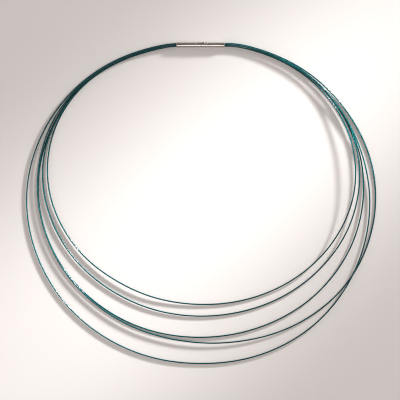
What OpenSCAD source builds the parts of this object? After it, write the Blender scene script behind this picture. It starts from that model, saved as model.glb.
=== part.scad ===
// Multi-strand necklace: five springy cable hoops on one tube clasp, lying on a table.
// The clasp is at the back (+Y), the wearer's front is at -Y, and +Z is up. Units are millimetres.
// The origin is on the table, under the middle of the whole necklace.

/* [Strands] */
// Outer diameter of each coated cable
strand_d = 0.7; // [0.45:0.05:0.7]
// Clear space between neighbouring cables inside the clasp
strand_gap = 0.06; // [0.05:0.01:0.1]
// Length of cable held in each half of the clasp
grip_l = 4.5; // [3:0.5:4.5]
// Sides of each cable's cross-section
strand_sides = 8; // [6:1:8]
// Rings of points along each stretch between two rows of the route tables
rings_per_stretch = 3; // [2:1:4]

/* [Clasp] */
// Length of the closed clasp
clasp_l = 24; // [22:1:28]
// Outer diameter of the sleeve, the half with the locking slot
sleeve_d = 2.8; // [2.7:0.1:2.9]
// Outer diameter of the plug, the half with the locking pin
plug_d = 2.7; // [2.6:0.1:2.8]
// Outer diameter of the sleeve's raised lip, which rests on the table
lip_d = 3; // [3:0.1:3.2]
// Length of the raised lip
lip_l = 4; // [3.5:0.5:5]
// Distance of the sleeve's open mouth from the clasp's middle, towards the plug
mouth_x = 2; // [1:0.5:3]
// Diameter of the hole that holds the five cable ends
cable_hole_d = 2.2; // [2.1:0.05:2.2]
// Depth of that hole
cable_hole_l = 5; // [5:0.5:6]
// Diameter of the stem that enters the sleeve
stem_d = 1.8; // [1.6:0.1:1.8]
// Length of the stem
stem_l = 5; // [4:0.5:5]
// Diameter of the locking pin
pin_d = 0.5; // [0.4:0.05:0.6]
// Distance of the locking slot's cross arm from the mouth
slot_l = 2; // [2:0.1:2.4]
// Turn that locks the pin
lock_turn = 50; // [40:5:60]

/* [Placement] */
// Centre of the loop that the route tables measure from, along X
hub_x = -0.3; // [-2:0.1:2]
// The same, along Y
hub_y = 3.8; // [2:0.1:6]
// Distance of the clasp's axis from that centre
clasp_r = 75.2; // [74.8:0.1:75.6]

/* [Hidden] */
$fn = 48;

// Radius of each cable from the loop's centre, at clock angles from the clasp, clockwise from above.
// Strand 1 is the innermost at the front and strand 5 the outermost.
PLAN = [
    // clock, strand_1, strand_2, strand_3, strand_4, strand_5
    [ 15, 76.3, 76.3, 77.1, 77.7, 77.1],
    [ 30, 78.3, 78.5, 79.2, 79.7, 79.2],
    [ 45, 79.9, 80.9, 81.1, 82.2, 81.3],
    [ 60, 80.7, 81.7, 81.9, 84.2, 82.0],
    [ 75, 79.7, 81.8, 82.4, 86.7, 83.2],
    [ 90, 76.7, 78.8, 81.5, 87.8, 84.6],
    [105, 71.7, 75.2, 80.0, 87.3, 85.4],
    [120, 66.4, 70.5, 77.7, 85.8, 85.9],
    [135, 61.6, 66.4, 75.2, 82.3, 86.2],
    [150, 57.8, 63.1, 72.8, 78.7, 85.6],
    [165, 55.3, 60.8, 71.2, 75.2, 84.7],
    [180, 54.2, 60.1, 70.7, 73.4, 83.7],
    [195, 54.7, 60.7, 71.4, 72.9, 84.4],
    [210, 56.7, 62.5, 72.9, 74.0, 85.2],
    [225, 59.7, 65.4, 74.8, 75.5, 86.2],
    [240, 64.9, 69.6, 77.4, 77.6, 86.9],
    [255, 70.1, 74.0, 79.5, 79.6, 87.2],
    [270, 75.5, 78.2, 81.3, 81.4, 87.1],
    [285, 79.0, 81.2, 81.8, 82.5, 85.7],
    [300, 80.8, 81.3, 81.6, 82.7, 83.7],
    [315, 80.3, 80.3, 81.1, 81.2, 81.7],
    [330, 78.0, 78.0, 78.8, 78.8, 79.4],
    [345, 75.6, 75.6, 76.4, 76.4, 77.0],
];

// Height of each cable's middle above the table, at the same clock angles.
RISE = [
    // clock, strand_1, strand_2, strand_3, strand_4, strand_5
    [ 15, 1.55, 0.80, 0.50, 1.05, 1.75],
    [ 30, 1.50, 0.75, 0.35, 0.90, 1.95],
    [ 45, 1.65, 1.10, 0.35, 0.70, 2.25],
    [ 60, 2.70, 1.20, 0.40, 0.40, 2.10],
    [ 75, 3.60, 1.60, 0.50, 0.35, 1.35],
    [ 90, 3.60, 1.85, 0.75, 0.35, 0.65],
    [105, 2.85, 1.65, 0.95, 0.35, 0.95],
    [120, 1.85, 1.20, 0.95, 0.45, 1.30],
    [135, 1.00, 0.75, 0.80, 0.60, 1.10],
    [150, 0.60, 0.55, 0.65, 0.75, 0.80],
    [165, 0.55, 0.55, 0.55, 1.00, 0.55],
    [180, 0.55, 0.55, 0.50, 1.15, 0.50],
    [195, 0.80, 0.60, 0.50, 1.15, 0.50],
    [210, 1.10, 0.65, 0.45, 1.10, 0.50],
    [225, 1.00, 0.55, 0.35, 1.00, 0.50],
    [240, 0.75, 0.60, 0.35, 1.10, 0.50],
    [255, 0.65, 0.65, 0.35, 1.10, 0.50],
    [270, 0.70, 0.60, 0.35, 1.10, 0.55],
    [285, 0.65, 0.85, 0.40, 1.10, 0.70],
    [300, 0.45, 1.10, 0.35, 1.15, 0.85],
    [315, 0.40, 1.20, 0.35, 1.45, 0.80],
    [330, 0.40, 1.20, 0.35, 1.40, 0.85],
    [345, 0.40, 1.15, 0.35, 1.35, 0.85],
];

// Place of strands 1 to 5 round the bundle in each half of the clasp, in fifths of a turn,
// counted from the outer side and upwards.
PLACES_IN_PLUG = [2, 3, 4, 0, 1];
PLACES_IN_SLEEVE = [3, 2, 4, 1, 0];

clock_step = PLAN[1][0] - PLAN[0][0];
// A spline runs inside its corner points, so on a round route these stand out by this factor.
corner_factor = 3 / (2 + cos(clock_step));
bundle_r = (strand_d + strand_gap) / 2 / sin(36);
clasp_y = hub_y + clasp_r;
clasp_z = lip_d / 2;
half_l = clasp_l / 2;
// Spacing of the route's straight points near the clasp's ends
lead_step = 2.5;

// Clear space round the stem and the pin, and at the seam between the two halves
play = 0.1;
slot_w = pin_d + 2 * play;
// Length of the slot's last, short arm, which runs back towards the mouth and holds the pin
slot_back_l = 0.4;
socket_d = stem_d + 2 * play;
socket_l = stem_l + 0.5;
ring_l = 1.2;
ring_d = sleeve_d;
groove_l = 0.25;
groove_d = stem_d + 0.4;
edge = 0.15;
// Angle of the locked pin from the top of the clasp, towards the outer side
lock_deg = -10;

// Point of a strand inside or near the clasp: side is 1 at the plug and -1 at the sleeve.
function lead_point(i, side, steps_out) =
    let (place = 72 * (side > 0 ? PLACES_IN_PLUG[i - 1] : PLACES_IN_SLEEVE[i - 1]))
    [
        hub_x + side * (half_l - grip_l + lead_step * steps_out),
        clasp_y + bundle_r * cos(place),
        clasp_z + bundle_r * sin(place)
    ];

// Point of a strand at one row of the route tables.
function row_point(i, row) =
    let (r = PLAN[row][i] * corner_factor, clock = PLAN[row][0])
    [hub_x + r * sin(clock), hub_y + r * cos(clock), RISE[row][i]];

// All corner points of a strand, from the plug clockwise to the sleeve.
function route(i) = concat(
    [for (n = [-1 : 2]) lead_point(i, 1, n)],
    [for (row = [0 : len(PLAN) - 1]) row_point(i, row)],
    [for (n = [2 : -1 : -1]) lead_point(i, -1, n)]
);

// Place and direction on the smooth curve that the corner points a, b, c and d give, t from 0 to 1.
function spline(a, b, c, d, t) =
    (pow(1 - t, 3) * a + (3 * pow(t, 3) - 6 * pow(t, 2) + 4) * b
    + (-3 * pow(t, 3) + 3 * pow(t, 2) + 3 * t + 1) * c + pow(t, 3) * d) / 6;
function spline_slope(a, b, c, d, t) =
    (-pow(1 - t, 2) * a + (3 * pow(t, 2) - 4 * t) * b
    + (-3 * pow(t, 2) + 2 * t + 1) * c + pow(t, 2) * d) / 2;

// One ring of points round the curve at a place, square to its direction.
function ring(place, slope) =
    let (
        along = slope / norm(slope),
        side = cross(along, [0, 0, 1]) / norm(cross(along, [0, 0, 1])),
        up = cross(side, along)
    )
    [
        for (k = [0 : strand_sides - 1])
            place + strand_d / 2 * (side * cos(360 * k / strand_sides) + up * sin(360 * k / strand_sides))
    ];

// Every ring of a strand, the last one at the end of the last stretch.
function rings(corners) =
    let (stretches = len(corners) - 3)
    [
        for (step = [0 : stretches * rings_per_stretch])
            let (
                n = min(floor(step / rings_per_stretch), stretches - 1),
                t = step / rings_per_stretch - n,
                a = corners[n],
                b = corners[n + 1],
                c = corners[n + 2],
                d = corners[n + 3]
            )
            ring(spline(a, b, c, d, t), spline_slope(a, b, c, d, t))
    ];

// One cable: the rings joined by triangles and closed at both ends.
module strand(i) {
    all_rings = rings(route(i));
    count = len(all_rings);
    sides = strand_sides;
    points = [for (r = all_rings) each r];
    walls = [
        for (r = [0 : count - 2], k = [0 : sides - 1])
            let (
                here = r * sides + k,
                beside = r * sides + (k + 1) % sides
            )
            each [[here, here + sides, beside], [beside, here + sides, beside + sides]]
    ];
    start_cap = [[for (k = [0 : sides - 1]) k]];
    end_cap = [[for (k = [sides - 1 : -1 : 0]) (count - 1) * sides + k]];
    color("#1d6468") polyhedron(points, concat(walls, start_cap, end_cap), convexity = 6);
}

// Moves its children to a place on the clasp's axis and points their Z along +X.
module on_axis(x) {
    translate([hub_x + x, clasp_y, clasp_z]) rotate([0, 90, 0]) children();
}

// A plain round bar on the clasp's axis.
module bar(x, l, d) {
    on_axis(x) cylinder(h = l, d = d);
}

// A round bar whose two outer edges are bevelled.
module bevelled_bar(x, l, d) {
    r = d / 2;
    on_axis(x) rotate_extrude()
        polygon([[0, 0], [r - edge, 0], [r, edge], [r, l - edge], [r - edge, l], [0, l]]);
}

// Turns its children about the clasp's axis, from its top towards the outer side.
module from_top(deg) {
    rotate([0, 0, 180 - deg]) children();
}

// The locking slot: in at the mouth, round by lock_turn, and back a little to hold the pin.
module lock_slot() {
    inner_r = stem_d / 2;
    depth = lip_d;
    on_axis(mouth_x) {
        from_top(lock_deg + lock_turn) translate([inner_r, -slot_w / 2, -slot_l])
            cube([depth, slot_w, slot_l + 1]);
        from_top(lock_deg) translate([inner_r, -slot_w / 2, -slot_l])
            cube([depth, slot_w, slot_w + slot_back_l]);
        translate([0, 0, -slot_l]) rotate([0, 0, 180 - lock_deg - lock_turn])
            rotate_extrude(angle = lock_turn) translate([inner_r, 0]) square([depth, slot_w]);
    }
}

// The pin on the plug's stem, seated in the slot's last arm.
module lock_pin() {
    pin_x = mouth_x - slot_l + slot_back_l + pin_d / 2 + play;
    on_axis(pin_x) from_top(lock_deg) translate([stem_d / 4, 0, 0]) rotate([0, 90, 0])
        cylinder(h = lip_d / 2 - stem_d / 4, d = pin_d);
}

module strand_1() strand(1);
module strand_2() strand(2);
module strand_3() strand(3);
module strand_4() strand(4);
module strand_5() strand(5);

module clasp_sleeve() {
    color("#a8a29d") difference() {
        union() {
            bevelled_bar(-half_l, half_l + mouth_x, sleeve_d);
            bevelled_bar(mouth_x - lip_l, lip_l, lip_d);
        }
        bar(-half_l - 1, cable_hole_l + 1, cable_hole_d);
        bar(mouth_x - socket_l, socket_l + 1, socket_d);
        lock_slot();
    }
}

module clasp_plug() {
    ring_x = mouth_x + play;
    body_x = ring_x + ring_l + groove_l;
    color("#b4afab") difference() {
        union() {
            bar(mouth_x - stem_l, stem_l + 1, stem_d);
            lock_pin();
            bevelled_bar(ring_x, ring_l, ring_d);
            bar(ring_x + edge, ring_l + groove_l, groove_d);
            bevelled_bar(body_x, half_l - body_x, plug_d);
        }
        bar(half_l - cable_hole_l, cable_hole_l + 1, cable_hole_d);
    }
}

strand_1();
strand_2();
strand_3();
strand_4();
strand_5();
clasp_sleeve();
clasp_plug();
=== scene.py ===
# Multi-strand necklace: five springy coated-cable hoops on one steel tube clasp, lying on a pale
# table. Everything is in metres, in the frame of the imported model: +Z is up and the clasp is at +Y.
import math

import bmesh
import bpy
import numpy as np
from mathutils import Matrix, Vector


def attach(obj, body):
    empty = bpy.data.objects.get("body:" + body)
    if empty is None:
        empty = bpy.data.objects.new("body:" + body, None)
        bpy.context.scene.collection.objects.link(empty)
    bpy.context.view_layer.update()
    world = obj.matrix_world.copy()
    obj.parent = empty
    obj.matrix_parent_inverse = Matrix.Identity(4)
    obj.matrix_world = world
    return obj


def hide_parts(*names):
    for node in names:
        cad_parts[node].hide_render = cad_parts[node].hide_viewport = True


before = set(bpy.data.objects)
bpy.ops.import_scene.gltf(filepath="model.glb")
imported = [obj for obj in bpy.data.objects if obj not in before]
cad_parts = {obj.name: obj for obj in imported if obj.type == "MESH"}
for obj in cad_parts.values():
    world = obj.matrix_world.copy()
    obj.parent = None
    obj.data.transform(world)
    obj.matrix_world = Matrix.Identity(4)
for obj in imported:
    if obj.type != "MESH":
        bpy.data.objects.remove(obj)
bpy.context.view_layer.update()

MM = 0.001
scene = bpy.context.scene

# Camera
# It looks straight down with the clasp at the top of the picture, from so far up that the hoops
# show no perspective.

CAMERA_HEIGHT = 2.0
FRAME_WIDTH = 200 * MM
FRAME_CENTRE = (-0.55 * MM, 1.55 * MM)

camera_data = bpy.data.cameras.new("camera")
camera_data.lens = camera_data.sensor_width * CAMERA_HEIGHT / FRAME_WIDTH
camera = bpy.data.objects.new("camera", camera_data)
camera.location = (*FRAME_CENTRE, CAMERA_HEIGHT)
scene.collection.objects.link(camera)
scene.camera = camera

# Cable hoops
# Seven-wire steel cable, one wire inside and six laid round it, in a clear teal nylon coat that is
# extruded on and sinks a little between the wires. Each hoop runs from the clasp's plug all the way
# round to its sleeve.

CABLE_D = 0.7 * MM
WIRES_ROUND = 6
LAY = 5 * MM  # in which a wire goes once round the cable
COAT_SINK = 0.014 * MM
SIDES_PER_WIRE = 4
RING_STEP = 0.28 * MM  # along the cable, from one ring of the mesh to the next
START_TURN = 1 / 9  # from one hoop's first wire to the next hoop's, so that no two look alike
FINE_STEPS = 200  # to each span of the curve, before it is cut into equal steps

HUB = (-0.3 * MM, 3.8 * MM)
CLASP_Y = HUB[1] + 75.2 * MM
CLASP_Z = 1.5 * MM
HALF_CLASP = 12 * MM
GRIP = 4.5 * MM  # of each cable end inside the clasp
LEAD_STEP = 2.5 * MM  # between the corner points at the clasp
PLACE_DEG = 72  # from one cable to the next round the bundle
CABLE_GAP = 0.06 * MM
BUNDLE_R = (CABLE_D + CABLE_GAP) / 2 / math.sin(math.radians(PLACE_DEG / 2))

# Clock angle from the clasp in degrees, then for hoops 1 to 5 the distance from the hub and the
# height of the cable's middle above the table, in millimetres.
ROUTES = [
    (15, (76.3, 76.3, 77.1, 77.7, 77.1), (1.55, 0.80, 0.50, 1.05, 1.75)),
    (30, (78.3, 78.5, 79.2, 79.7, 79.2), (1.50, 0.75, 0.35, 0.90, 1.95)),
    (45, (79.9, 80.9, 81.1, 82.2, 81.3), (1.65, 1.10, 0.35, 0.70, 2.25)),
    (60, (80.7, 81.7, 81.9, 84.2, 82.0), (2.70, 1.20, 0.40, 0.40, 2.10)),
    (75, (79.7, 81.8, 82.4, 86.7, 83.2), (3.60, 1.60, 0.50, 0.35, 1.35)),
    (90, (76.7, 78.8, 81.5, 87.8, 84.6), (3.60, 1.85, 0.75, 0.35, 0.65)),
    (105, (71.7, 75.2, 80.0, 87.3, 85.4), (2.85, 1.65, 0.95, 0.35, 0.95)),
    (120, (66.4, 70.5, 77.7, 85.8, 85.9), (1.85, 1.20, 0.95, 0.45, 1.30)),
    (135, (61.6, 66.4, 75.2, 82.3, 86.2), (1.00, 0.75, 0.80, 0.60, 1.10)),
    (150, (57.8, 63.1, 72.8, 78.7, 85.6), (0.60, 0.55, 0.65, 0.75, 0.80)),
    (165, (55.3, 60.8, 71.2, 75.2, 84.7), (0.55, 0.55, 0.55, 1.00, 0.55)),
    (180, (54.2, 60.1, 70.7, 73.4, 83.7), (0.55, 0.55, 0.50, 1.15, 0.50)),
    (195, (54.7, 60.7, 71.4, 72.9, 84.4), (0.80, 0.60, 0.50, 1.15, 0.50)),
    (210, (56.7, 62.5, 72.9, 74.0, 85.2), (1.10, 0.65, 0.45, 1.10, 0.50)),
    (225, (59.7, 65.4, 74.8, 75.5, 86.2), (1.00, 0.55, 0.35, 1.00, 0.50)),
    (240, (64.9, 69.6, 77.4, 77.6, 86.9), (0.75, 0.60, 0.35, 1.10, 0.50)),
    (255, (70.1, 74.0, 79.5, 79.6, 87.2), (0.65, 0.65, 0.35, 1.10, 0.50)),
    (270, (75.5, 78.2, 81.3, 81.4, 87.1), (0.70, 0.60, 0.35, 1.10, 0.55)),
    (285, (79.0, 81.2, 81.8, 82.5, 85.7), (0.65, 0.85, 0.40, 1.10, 0.70)),
    (300, (80.8, 81.3, 81.6, 82.7, 83.7), (0.45, 1.10, 0.35, 1.15, 0.85)),
    (315, (80.3, 80.3, 81.1, 81.2, 81.7), (0.40, 1.20, 0.35, 1.45, 0.80)),
    (330, (78.0, 78.0, 78.8, 78.8, 79.4), (0.40, 1.20, 0.35, 1.40, 0.85)),
    (345, (75.6, 75.6, 76.4, 76.4, 77.0), (0.40, 1.15, 0.35, 1.35, 0.85)),
]
# Place of hoops 1 to 5 round the bundle in each half of the clasp, in fifths of a turn.
PLACES_IN_PLUG = (2, 3, 4, 0, 1)
PLACES_IN_SLEEVE = (3, 2, 4, 1, 0)


def lead_point(hoop, side, steps_out):
    """Point of a hoop in or near the clasp. Side is 1 at the plug and -1 at the sleeve."""
    places = PLACES_IN_PLUG if side > 0 else PLACES_IN_SLEEVE
    place = math.radians(PLACE_DEG * places[hoop])
    return (
        HUB[0] + side * (HALF_CLASP - GRIP + LEAD_STEP * steps_out),
        CLASP_Y + BUNDLE_R * math.cos(place),
        CLASP_Z + BUNDLE_R * math.sin(place),
    )


def route(hoop):
    """Corner points of a hoop's smooth curve, clockwise from the plug to the sleeve."""
    # The curve passes inside its corners, so they stand out to bring it to its distances.
    stand_out = 3 / (2 + math.cos(math.radians(ROUTES[1][0] - ROUTES[0][0])))
    corners = [lead_point(hoop, 1, step) for step in (-1, 0, 1, 2)]
    for clock, distances, heights in ROUTES:
        angle = math.radians(clock)
        r = distances[hoop] * stand_out * MM
        x, y = HUB[0] + r * math.sin(angle), HUB[1] + r * math.cos(angle)
        corners.append((x, y, heights[hoop] * MM))
    corners += [lead_point(hoop, -1, step) for step in (2, 1, 0, -1)]
    return np.array(corners)


def smooth_curve(corners):
    """Places at equal steps along the corners' cubic B-spline, with directions and distances."""
    t = np.linspace(0, 1, FINE_STEPS, endpoint=False)[:, None]
    weights = ((1 - t) ** 3, 3 * t**3 - 6 * t**2 + 4, -3 * t**3 + 3 * t**2 + 3 * t + 1, t**3)
    fine = np.concatenate([
        sum(weight * corner for weight, corner in zip(weights, corners[n : n + 4])) / 6
        for n in range(len(corners) - 3)
    ])
    run = np.concatenate([[0], np.cumsum(np.linalg.norm(np.diff(fine, axis=0), axis=1))])
    at = np.linspace(0, run[-1], round(run[-1] / RING_STEP) + 1)
    places = np.stack([np.interp(at, run, fine[:, axis]) for axis in range(3)], axis=1)
    along = np.gradient(places, axis=0)
    return places, along / np.linalg.norm(along, axis=1)[:, None], at


def cable_mesh(name, corners, first_turn):
    """A tube whose sides follow the lay of the six outer wires."""
    places, along, at = smooth_curve(corners)
    side = np.cross(along, (0, 0, 1))
    side /= np.linalg.norm(side, axis=1)[:, None]
    up = np.cross(side, along)
    sides = WIRES_ROUND * SIDES_PER_WIRE
    round_it = 2 * math.pi * np.arange(sides) / sides
    turn = round_it[None, :] + 2 * math.pi * (at[:, None] / LAY + first_turn)
    r = CABLE_D / 2 - COAT_SINK * (0.5 - 0.5 * np.cos(WIRES_ROUND * round_it))
    points = (
        places[:, None, :]
        + (r * np.cos(turn))[:, :, None] * side[:, None, :]
        + (r * np.sin(turn))[:, :, None] * up[:, None, :]
    ).reshape(-1, 3)

    spans = len(at) - 1
    ring = np.arange(spans)[:, None] * sides
    here = np.arange(sides)[None, :]
    beside = (here + 1) % sides
    walls = np.stack(
        [ring + here, ring + sides + here, ring + sides + beside, ring + beside], axis=2
    ).reshape(-1, 4)
    first_cap = list(range(sides))
    last_cap = [spans * sides + corner for corner in reversed(first_cap)]
    mesh = bpy.data.meshes.new(name)
    mesh.from_pydata(points.tolist(), [], walls.tolist() + [first_cap, last_cap])
    mesh.shade_smooth()

    # The map has turns round the cable across and millimetres of cable up.
    across = np.tile([[0, 0, 1, 1]], (len(walls), 1)) + np.tile(np.arange(sides), spans)[:, None]
    before = np.repeat(at[:-1] / MM, sides)
    after = np.repeat(at[1:] / MM, sides)
    wall_map = np.stack([across / sides, np.stack([before, after, after, before], axis=1)], axis=2)
    cap_map = np.zeros((2 * sides, 2))
    lay_map = mesh.uv_layers.new(name="lay")
    whole_map = np.concatenate([wall_map.reshape(-1, 2), cap_map]).astype(np.float32)
    lay_map.uv.foreach_set("vector", whole_map.ravel())
    return mesh


def linear(hex_colour):
    """An sRGB hex colour as linear RGBA."""
    parts = [int(hex_colour[n : n + 2], 16) / 255 for n in (1, 3, 5)]
    return (*(p / 12.92 if p <= 0.04045 else ((p + 0.055) / 1.055) ** 2.4 for p in parts), 1)


def add_node(owner, kind, settings=(), **links):
    """Adds one shader node with its own settings.

    Each link or value goes to the input of that name, or for i0, i1 and so on of that number.
    """
    node = owner.node_tree.nodes.new("ShaderNode" + kind)
    for name, value in dict(settings).items():
        setattr(node, name, value)
    for name, value in links.items():
        numbered = name[0] == "i" and name[1:].isdigit()
        pin = node.inputs[int(name[1:])] if numbered else node.inputs[name.replace("_", " ")]
        if isinstance(value, bpy.types.NodeSocket):
            owner.node_tree.links.new(value, pin)
        else:
            pin.default_value = value
    return node


def blank_material(name):
    """A material with no nodes yet."""
    material = bpy.data.materials.new(name)
    material.use_nodes = True
    material.node_tree.nodes.clear()
    return material


# Nylon coat over steel wires: a smooth clear gloss on top, and under it coloured metal with the
# round relief of the laid wires, with painted shade in the grooves where they meet. As the wires
# run aslant, the teal highlight sits to one side of the white one. The colour drifts a little with
# the coat's thickness.
WIRE_RELIEF = 0.1 * MM  # from the top of a wire down to where two meet
DRIFT_MM = 20

coat = blank_material("teal nylon coat on steel cable")
lay_uv = add_node(coat, "UVMap", {"uv_map": "lay"})
lay_xy = add_node(coat, "SeparateXYZ", Vector=lay_uv.outputs[0])
wire_angle = add_node(
    coat, "Math", {"operation": "MULTIPLY"}, i0=lay_xy.outputs[0], i1=2 * math.pi * WIRES_ROUND
)
wire_wave = add_node(coat, "Math", {"operation": "COSINE"}, i0=wire_angle.outputs[0])
# Mask for painted shade: 0 in the grooves between the wires, 1 on their crowns.
painted_groove_shade_mask = add_node(
    coat, "MapRange", {"interpolation_type": "SMOOTHSTEP"},
    Value=wire_wave.outputs[0], From_Min=-1.0, From_Max=-0.2,
)
drift_place = add_node(coat, "CombineXYZ", Y=lay_xy.outputs[1])
drift = add_node(coat, "TexNoise", Vector=drift_place.outputs[0], Scale=1 / DRIFT_MM, Detail=3.0)
crown_colour = add_node(
    coat, "Mix", {"data_type": "RGBA"},
    i0=drift.outputs[0], i6=linear("#065a66"), i7=linear("#0a625c"),
)
# Painted shade: the grooves between the wires get the dark colour, as the bump casts no shade of its
# own.
wire_colour_with_painted_groove_shade = add_node(
    coat, "Mix", {"data_type": "RGBA"},
    i0=painted_groove_shade_mask.outputs[0], i6=linear("#03303a"), i7=crown_colour.outputs[2],
)
wire_relief = add_node(
    coat, "Bump", Strength=1.0, Distance=WIRE_RELIEF / 2, Height=wire_wave.outputs[0]
)
coat_shader = add_node(
    coat, "BsdfPrincipled", Base_Color=wire_colour_with_painted_groove_shade.outputs[2], Metallic=0.95, Roughness=0.45,
    Coat_Weight=0.5, Coat_Roughness=0.12, Coat_IOR=1.53, Normal=wire_relief.outputs[0],
)
add_node(coat, "OutputMaterial", Surface=coat_shader.outputs[0])

for hoop in range(5):
    name = f"hoop_{hoop + 1}"
    piece = bpy.data.objects.new(name, cable_mesh(name, route(hoop), hoop * START_TURN))
    piece.data.materials.append(coat)
    scene.collection.objects.link(piece)
    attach(piece, "root")
    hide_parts(f"strand_{hoop + 1}")

# Clasp sleeve
# The longer half of the tube clasp, turned from stainless steel bar: a blind hole for the cable
# ends at one end, a socket for the plug at the other, and a raised lip there, through which the
# bayonet slot is milled.

SLEEVE_R = 1.4 * MM
LIP_R = 1.5 * MM
LIP_L = 4 * MM
LIP_RING = 0.25 * MM
MOUTH = 2 * MM
CABLE_HOLE_R = 1.1 * MM
CABLE_HOLE_L = 5 * MM
STEM_R = 0.9 * MM
STEM_L = 5 * MM
SOCKET_L = STEM_L + 0.5 * MM
PLAY = 0.1 * MM
EDGE = 0.15 * MM
BREAK = 0.04 * MM
CLASP_SIDES = 96

PIN_R = 0.25 * MM
SLOT_L = 2 * MM
SLOT_W = 2 * (PIN_R + PLAY)
SLOT_BACK = 0.4 * MM
LOCK = -10  # degrees from the top to the locked pin
LOCK_TURN = 50  # degrees from there to the slot's way in
SLOT_STEPS = 12
CUTTER_REACH = 0.6 * MM  # past the lip
# The cut across runs this far past the two along the bar, so that no cuts share a wall.
OVERRUN = 0.004 * MM
OVERRUN_DEG = 0.2
WELD = 0.001 * MM
CRISP_CORNER = math.radians(35)


def on_clasp(x, r, turn):
    """The point at x from the clasp's middle and r from its axis, turned from the top."""
    return (HUB[0] + x, CLASP_Y + r * math.sin(turn), CLASP_Z + r * math.cos(turn))


def round_edge(x, r, facing):
    """Profile points that round the outer edge of an end face, which faces left (-1) or right."""
    turn = np.radians((180, 150, 120, 90) if facing < 0 else (90, 60, 30, 0))
    return [(x - facing * EDGE + EDGE * math.cos(a), r - EDGE + EDGE * math.sin(a)) for a in turn]


def join_rings(maker, rings):
    """Walls from each ring of points to the next. A ring of one point is on the axis."""
    for ring, after in zip(rings, rings[1:]):
        for k in range(max(len(ring), len(after))):
            corners = [ring[k % len(ring)], ring[(k + 1) % len(ring)]]
            corners += [after[(k + 1) % len(after)], after[k % len(after)]]
            maker.faces.new(dict.fromkeys(corners))


def linked_piece(name, maker):
    """The finished solid as an object in the scene, with its faces outward."""
    bmesh.ops.recalc_face_normals(maker, faces=maker.faces)
    mesh = bpy.data.meshes.new(name)
    maker.to_mesh(mesh)
    maker.free()
    piece = bpy.data.objects.new(name, mesh)
    scene.collection.objects.link(piece)
    return piece


def turned(name, profile):
    """A solid turned on the clasp's axis, from (place, radius) pairs that start and end on it."""
    around = 2 * math.pi * np.arange(CLASP_SIDES) / CLASP_SIDES
    maker = bmesh.new()
    rings = [
        [maker.verts.new(on_clasp(x, r, a)) for a in (around if r > 0 else around[:1])]
        for x, r in profile
    ]
    join_rings(maker, rings)
    return linked_piece(name, maker)


def slot_arm(start, end):
    """A cut with round ends between two (place, degrees from the top) pairs, the lower first."""
    half_w = SLOT_W / 2
    end_turn = np.radians(np.linspace(90, 270, SLOT_STEPS + 1))
    shares = np.arange(1, SLOT_STEPS) / SLOT_STEPS
    # Each point of the outline has a share of the way, and then goes on ahead and aside.
    outline = [(0, half_w * math.cos(a), half_w * math.sin(a)) for a in end_turn]
    outline += [(share, 0, -half_w) for share in shares]
    outline += [(1, -half_w * math.cos(a), -half_w * math.sin(a)) for a in end_turn]
    outline += [(share, 0, half_w) for share in shares[::-1]]
    along_bar = start[0] != end[0]
    maker = bmesh.new()
    rims = []
    for r in (STEM_R, LIP_R + CUTTER_REACH):
        rim = []
        for share, ahead, aside in outline:
            x = start[0] + share * (end[0] - start[0]) + (ahead if along_bar else aside)
            deg = start[1] + share * (end[1] - start[1])
            across = aside if along_bar else ahead
            turn = math.radians(deg) + math.asin(across / r)
            rim.append(maker.verts.new(on_clasp(x, r, turn)))
        maker.faces.new(rim)
        rims.append(rim)
    join_rings(maker, rims)
    return linked_piece("slot_arm", maker)


def combine(piece, tool, operation):
    """Cuts the tool out of a piece or joins it on, and welds the slivers where they meet."""
    joint = piece.modifiers.new("combine", "BOOLEAN")
    joint.operation = operation
    joint.solver = "EXACT"
    joint.object = tool
    plain = piece.data
    evaluated = piece.evaluated_get(bpy.context.evaluated_depsgraph_get())
    piece.data = bpy.data.meshes.new_from_object(evaluated)
    piece.modifiers.clear()
    bpy.data.objects.remove(tool)
    bpy.data.meshes.remove(plain)
    cleaner = bmesh.new()
    cleaner.from_mesh(piece.data)
    bmesh.ops.remove_doubles(cleaner, verts=cleaner.verts, dist=WELD)
    bmesh.ops.dissolve_degenerate(cleaner, edges=cleaner.edges, dist=WELD)
    cleaner.to_mesh(piece.data)
    cleaner.free()


# Turned stainless steel: bright metal that the cutting tool left with fine rings round it, so that
# highlights stretch along the bar. Handling has left it a little smoother in some places.
RING_MARKS = 0.07 * MM
RING_DEPTH = 0.002 * MM
HANDLED_PATCH = 1.5 * MM

steel = blank_material("turned stainless steel")
steel_place = add_node(steel, "TexCoord")
bar_place = add_node(steel, "SeparateXYZ", Vector=steel_place.outputs["Object"])
ring_marks = add_node(
    steel, "TexNoise", {"noise_dimensions": "1D"},
    W=bar_place.outputs[0], Scale=1 / RING_MARKS, Detail=2.0,
)
handled = add_node(
    steel, "TexNoise", Vector=steel_place.outputs["Object"], Scale=1 / HANDLED_PATCH, Detail=3.0
)
steel_colour = add_node(
    steel, "Mix", {"data_type": "RGBA"},
    i0=ring_marks.outputs[0], i6=linear("#c4bfba"), i7=linear("#d2cdc8"),
)
steel_roughness = add_node(
    steel, "MapRange",
    Value=handled.outputs[0], From_Min=0.3, From_Max=0.7, To_Min=0.16, To_Max=0.2,
)
ring_bump = add_node(
    steel, "Bump", Strength=0.07, Distance=RING_DEPTH, Height=ring_marks.outputs[0]
)
round_bar = add_node(steel, "Tangent", {"direction_type": "RADIAL", "axis": "X"})
steel_shader = add_node(
    steel, "BsdfPrincipled", Base_Color=steel_colour.outputs[2], Metallic=1.0,
    Roughness=steel_roughness.outputs[0], Anisotropic=0.5,
    Tangent=round_bar.outputs[0], Normal=ring_bump.outputs[0],
)
add_node(steel, "OutputMaterial", Surface=steel_shader.outputs[0])


def finish_steel(piece, node):
    """Smooth shading with crisp corners, the steel, and the place in the frame."""
    piece.data.shade_smooth()
    piece.data.set_sharp_from_angle(angle=CRISP_CORNER)
    piece.data.materials.append(steel)
    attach(piece, "root")
    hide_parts(node)


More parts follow.
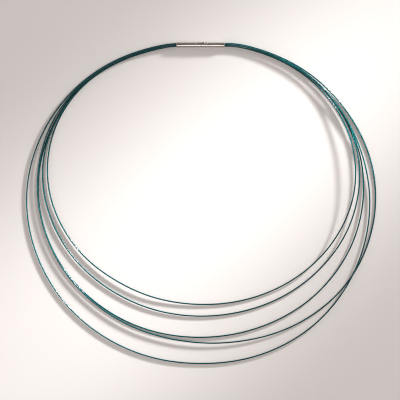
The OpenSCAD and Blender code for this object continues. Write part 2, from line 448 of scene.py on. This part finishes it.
lip_x = MOUTH - LIP_L
sleeve = turned("sleeve", [
    (CABLE_HOLE_L - HALF_CLASP, 0),
    (CABLE_HOLE_L - HALF_CLASP, CABLE_HOLE_R),
    (BREAK - HALF_CLASP, CABLE_HOLE_R),
    (-HALF_CLASP, CABLE_HOLE_R + BREAK),
    *round_edge(-HALF_CLASP, SLEEVE_R, -1),
    # The lip's step is lower than the rounding, which so ends on the tube.
    *((x, max(r, SLEEVE_R)) for x, r in round_edge(lip_x, LIP_R, -1)),
    # Rings along the lip keep its faces short beside the slot.
    *((x, LIP_R) for x in np.arange(lip_x + LIP_RING, MOUTH - EDGE, LIP_RING)),
    *round_edge(MOUTH, LIP_R, 1),
    (MOUTH, STEM_R + PLAY + BREAK),
    (MOUTH - BREAK, STEM_R + PLAY),
    (MOUTH - SOCKET_L, STEM_R + PLAY),
    (MOUTH - SOCKET_L, 0),
])

# The pin goes in along the bar, across by the lock's turn, and back a little to rest.
cross_x = MOUTH - SLOT_L + SLOT_W / 2
entry = LOCK + LOCK_TURN
for arm in (
    ((cross_x, entry), (MOUTH + SLOT_W, entry)),
    ((cross_x + OVERRUN, LOCK - OVERRUN_DEG), (cross_x + OVERRUN, entry + OVERRUN_DEG)),
    ((cross_x, LOCK), (cross_x + SLOT_BACK, LOCK)),
):
    combine(sleeve, slot_arm(*arm), "DIFFERENCE")
finish_steel(sleeve, "clasp_sleeve")

# Clasp plug
# The shorter half, turned from the same bar: a collar against the sleeve's mouth, a groove, a body
# with the other blind hole, and a stem inside the sleeve. A steel pin is pressed across the stem
# and locks in the slot.

COLLAR_L = 1.2 * MM
GROOVE_L = 0.25 * MM
GROOVE_R = STEM_R + 0.2 * MM
BODY_R = 1.35 * MM
PIN_SIDES = 24

collar_x = MOUTH + PLAY
body_x = collar_x + COLLAR_L + GROOVE_L
plug = turned("plug", [
    (MOUTH - STEM_L, 0),
    *round_edge(MOUTH - STEM_L, STEM_R, -1),
    (collar_x, STEM_R),
    *round_edge(collar_x, SLEEVE_R, -1),
    *round_edge(collar_x + COLLAR_L, SLEEVE_R, 1),
    (collar_x + COLLAR_L, GROOVE_R),
    (body_x, GROOVE_R),
    *round_edge(body_x, BODY_R, -1),
    *round_edge(HALF_CLASP, BODY_R, 1),
    (HALF_CLASP, CABLE_HOLE_R + BREAK),
    (HALF_CLASP - BREAK, CABLE_HOLE_R),
    (HALF_CLASP - CABLE_HOLE_L, CABLE_HOLE_R),
    (HALF_CLASP - CABLE_HOLE_L, 0),
])

pin_maker = bmesh.new()
pin_rings = [
    [
        pin_maker.verts.new((r * math.cos(a), r * math.sin(a), out))
        for a in 2 * math.pi * np.arange(PIN_SIDES) / PIN_SIDES
    ]
    for out, r in ((STEM_R / 2, PIN_R), (LIP_R - BREAK, PIN_R), (LIP_R, PIN_R - BREAK))
]
join_rings(pin_maker, pin_rings)
pin_maker.faces.new(pin_rings[0])
pin_maker.faces.new(pin_rings[-1])
pin_x = MOUTH - SLOT_L + SLOT_BACK + PIN_R + PLAY
pin_place = Matrix.Translation(on_clasp(pin_x, 0, 0))
pin_turn = Matrix.Rotation(math.radians(-LOCK), 4, "X")
bmesh.ops.transform(pin_maker, matrix=pin_place @ pin_turn, verts=pin_maker.verts)
combine(plug, linked_piece("pin", pin_maker), "UNION")
finish_steel(plug, "clasp_plug")

# Floor and light
# A pale matte table top. A low lamp at the upper right has a bright core, which lies across the
# table as a band, and a wide even spill. The room is dim, with brighter walls on the left and
# right, and one soft ceiling light that shows as a line along the clasp.

FLOOR_HALF = 6
LAMP_PLACE = Vector((500, 440, 194)) * MM
LAMP_AIM = Vector((-57, -51, 0)) * MM
LAMP_R = 46 * MM
CORE_POWER = 55
CORE_SPREAD = 13.9
SPILL_POWER = 8.3
SPILL_SPREAD = 50

floor_mesh = bpy.data.meshes.new("table_top")
floor_mesh.from_pydata(
    [(x * FLOOR_HALF, y * FLOOR_HALF, 0) for x, y in ((-1, -1), (1, -1), (1, 1), (-1, 1))],
    [], [(0, 1, 2, 3)],
)
floor = bpy.data.objects.new("table_top", floor_mesh)
scene.collection.objects.link(floor)

# White matte paint: even and without gloss, so that the lamp's band fades softly across it.
paint = blank_material("white table paint")
paint_shader = add_node(paint, "BsdfPrincipled", Base_Color=linear("#ece9e7"), Roughness=0.8)
add_node(paint, "OutputMaterial", Surface=paint_shader.outputs[0])
floor_mesh.materials.append(paint)

for name, power, spread in (
    ("core", CORE_POWER, CORE_SPREAD),
    ("spill", SPILL_POWER, SPILL_SPREAD),
):
    lamp_data = bpy.data.lights.new(name, "SPOT")
    lamp_data.energy = power
    lamp_data.shadow_soft_size = LAMP_R
    lamp_data.spot_size = math.radians(spread)
    lamp_data.spot_blend = 1
    lamp = bpy.data.objects.new(name, lamp_data)
    lamp.location = LAMP_PLACE
    lamp.rotation_mode = "QUATERNION"
    lamp.rotation_quaternion = (LAMP_AIM - LAMP_PLACE).to_track_quat("-Z", "Y")
    scene.collection.objects.link(lamp)

WALL_LIGHT = 0.3
CEILING_LIGHT = 0.15
WALL_TOP = 0.55  # sine of the angle above the horizon, as is the next
CEILING_EDGE = 0.8
SIDE_LIGHT = 1.5
SIDE_NARROWING = 4.0  # how closely it keeps to due left and right
CEILING_LAMP = 2.0
CEILING_LAMP_TILT = math.radians(20)
CEILING_LAMP_INNER = math.radians(15)
CEILING_LAMP_OUTER = math.radians(23)

room = bpy.data.worlds.new("room")
room.use_nodes = True
room.node_tree.nodes.clear()
room_way = add_node(room, "TexCoord")
room_xyz = add_node(room, "SeparateXYZ", Vector=room_way.outputs["Generated"])
plain_room = add_node(
    room, "MapRange",
    Value=room_xyz.outputs[2], From_Min=WALL_TOP, From_Max=CEILING_EDGE,
    To_Min=WALL_LIGHT, To_Max=CEILING_LIGHT,
)
sideways = add_node(
    room, "Math", {"operation": "POWER"}, i0=room_xyz.outputs[0], i1=SIDE_NARROWING
)
with_sides = add_node(
    room, "Math", {"operation": "MULTIPLY_ADD"},
    i0=sideways.outputs[0], i1=SIDE_LIGHT, i2=plain_room.outputs[0],
)
to_ceiling_lamp = (0, -math.sin(CEILING_LAMP_TILT), math.cos(CEILING_LAMP_TILT))
nearness = add_node(
    room, "VectorMath", {"operation": "DOT_PRODUCT"},
    i0=room_way.outputs["Generated"], i1=to_ceiling_lamp,
)
ceiling_lamp = add_node(
    room, "MapRange", {"interpolation_type": "SMOOTHSTEP"},
    Value=nearness.outputs["Value"],
    From_Min=math.cos(CEILING_LAMP_OUTER), From_Max=math.cos(CEILING_LAMP_INNER),
)
room_light = add_node(
    room, "Mix", i0=ceiling_lamp.outputs[0], i2=with_sides.outputs[0], i3=CEILING_LAMP
)
room_shader = add_node(
    room, "Background", Color=linear("#fff7f3"), Strength=room_light.outputs[0]
)
add_node(room, "OutputWorld", Surface=room_shader.outputs[0])
scene.world = room
# Colours come out as they are set, and a narrow pixel filter keeps the thin cables crisp.
scene.view_settings.view_transform = "Standard"
scene.cycles.filter_width = 1.0
